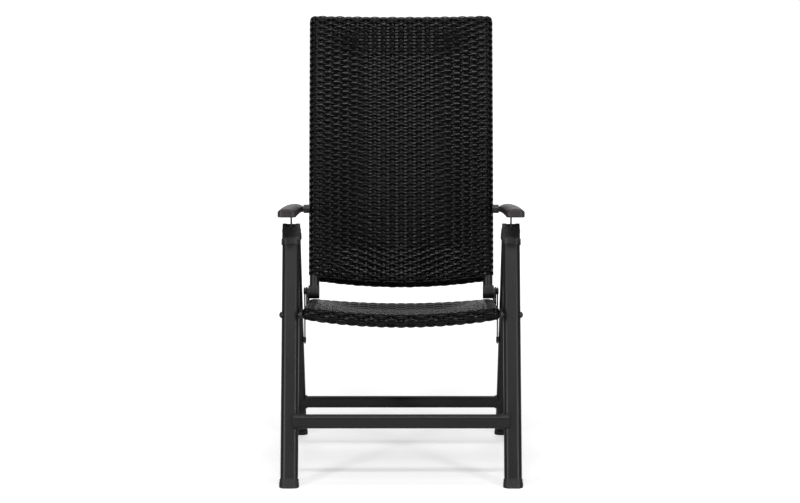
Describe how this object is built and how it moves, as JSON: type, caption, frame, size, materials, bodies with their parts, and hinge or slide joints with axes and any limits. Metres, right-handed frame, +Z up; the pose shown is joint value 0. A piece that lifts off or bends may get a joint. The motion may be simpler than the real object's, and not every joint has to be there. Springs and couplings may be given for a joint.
{
  "type": "reclining garden armchair",
  "caption": "Folding reclining garden armchair with a woven wicker seat and high back, hinged oval-tube legs and notched armrests.",
  "frame": {"origin": "on the floor under the middle of the chair", "axes": "+Z up, -Y to the front of the chair where the sitter's knees are, +X to the sitter's left"},
  "size_m": [0.5942, 0.7028, 1.0725],
  "materials": {
    "frame_coat": "satin anthracite powder coat",
    "wicker": "satin woven plastic wicker",
    "moulding": "fine grained moulding",
    "foot_plastic": "matt",
    "rack_plastic": "matt",
    "bolt_steel": "black coated steel"
  },
  "bodies": {
    "front_frame": {"front_leg_left": "frame_coat", "front_leg_right": "frame_coat", "front_crossbar": "frame_coat", "front_foot_left": "foot_plastic", "front_foot_right": "foot_plastic", "hinge_housing_left": "moulding", "hinge_housing_right": "moulding", "pin_plate_left": "frame_coat", "pin_plate_right": "frame_coat", "hinge_pins": "bolt_steel", "arm_pins": "bolt_steel", "seat_pivot_bolts": "bolt_steel", "seat_pivot_spacers": "rack_plastic"},
    "rear_frame": {"rear_leg_left": "frame_coat", "rear_leg_right": "frame_coat", "rear_crossbar": "frame_coat", "rear_foot_left": "foot_plastic", "rear_foot_right": "foot_plastic", "leg_knuckle_left": "moulding", "leg_knuckle_right": "moulding", "strap_bolts": "bolt_steel", "strap_spacers": "rack_plastic"},
    "straps": {"strap_left": "frame_coat", "strap_right": "frame_coat", "strap_rivets": "bolt_steel"},
    "seat": {"seat_rail_left": "frame_coat", "seat_rail_right": "frame_coat", "seat_front_rail": "frame_coat", "seat_rear_rail": "frame_coat", "seat_side_wrap_left": "wicker", "seat_side_wrap_right": "wicker", "seat_front_wrap": "wicker", "seat_rear_wrap": "wicker", "seat_weave": "wicker", "back_bracket_left": "frame_coat", "back_bracket_right": "frame_coat", "strap_studs": "bolt_steel"},
    "back_bolts": {"back_pivot_bolts": "bolt_steel", "back_pivot_washers": "bolt_steel"},
    "backrest": {"back_tube_left": "frame_coat", "back_tube_right": "frame_coat", "back_top_rail": "frame_coat", "back_bottom_rail": "frame_coat", "back_side_wrap_left": "wicker", "back_side_wrap_right": "wicker", "back_top_wrap": "wicker", "back_bottom_wrap": "wicker", "back_weave": "wicker", "back_boss_left": "moulding", "back_boss_right": "moulding"},
    "arm_bolts": {"arm_pivot_bolts": "bolt_steel", "arm_pivot_spacers": "bolt_steel"},
    "armrests": {"armrest_left": "moulding", "armrest_right": "moulding", "arm_rack_left": "rack_plastic", "arm_rack_right": "rack_plastic", "rack_screws": "bolt_steel"}
  },
  "joints": [
    {"name": "fold", "type": "hinge", "parent": "front_frame", "child": "rear_frame", "pos_m": [0, -0.12006, 0.578], "axis": [-1, 0, 0], "range_deg": [0, 47]},
    {"name": "seat_fold", "type": "hinge", "parent": "front_frame", "child": "seat", "pos_m": [0, -0.20606, 0.389], "axis": [-1, 0, 0], "range_deg": [0, 89.3]},
    {"name": "strap_fold", "type": "hinge", "parent": "rear_frame", "child": "straps", "pos_m": [0, 0.06894, 0.277], "axis": [-1, 0, 0], "range_deg": [0, 121.26]},
    {"name": "back_fold", "type": "hinge", "parent": "seat", "child": "back_bolts", "pos_m": [0, 0.14394, 0.382], "axis": [1, 0, 0], "range_deg": [0, 89.3]},
    {"name": "recline", "type": "hinge", "parent": "back_bolts", "child": "backrest", "pos_m": [0, 0.14394, 0.382], "axis": [-1, 0, 0], "range_deg": [0, 30]},
    {"name": "arm_fold", "type": "hinge", "parent": "backrest", "child": "arm_bolts", "pos_m": [0, 0.19394, 0.59], "axis": [-1, 0, 0], "range_deg": [0, 103.4]},
    {"name": "arm_level", "type": "hinge", "parent": "arm_bolts", "child": "armrests", "pos_m": [0, 0.19394, 0.59], "axis": [1, 0, 0], "range_deg": [0, 24]}
  ],
  "couplings": [
    {"joint": "seat_fold", "follows": "fold", "ratio": 1.9},
    {"joint": "strap_fold", "follows": "fold", "ratio": 2.58},
    {"joint": "back_fold", "follows": "fold", "ratio": 1.9},
    {"joint": "arm_fold", "follows": "fold", "ratio": 2.2},
    {"joint": "arm_level", "follows": "recline", "ratio": 0.8}
  ]
}
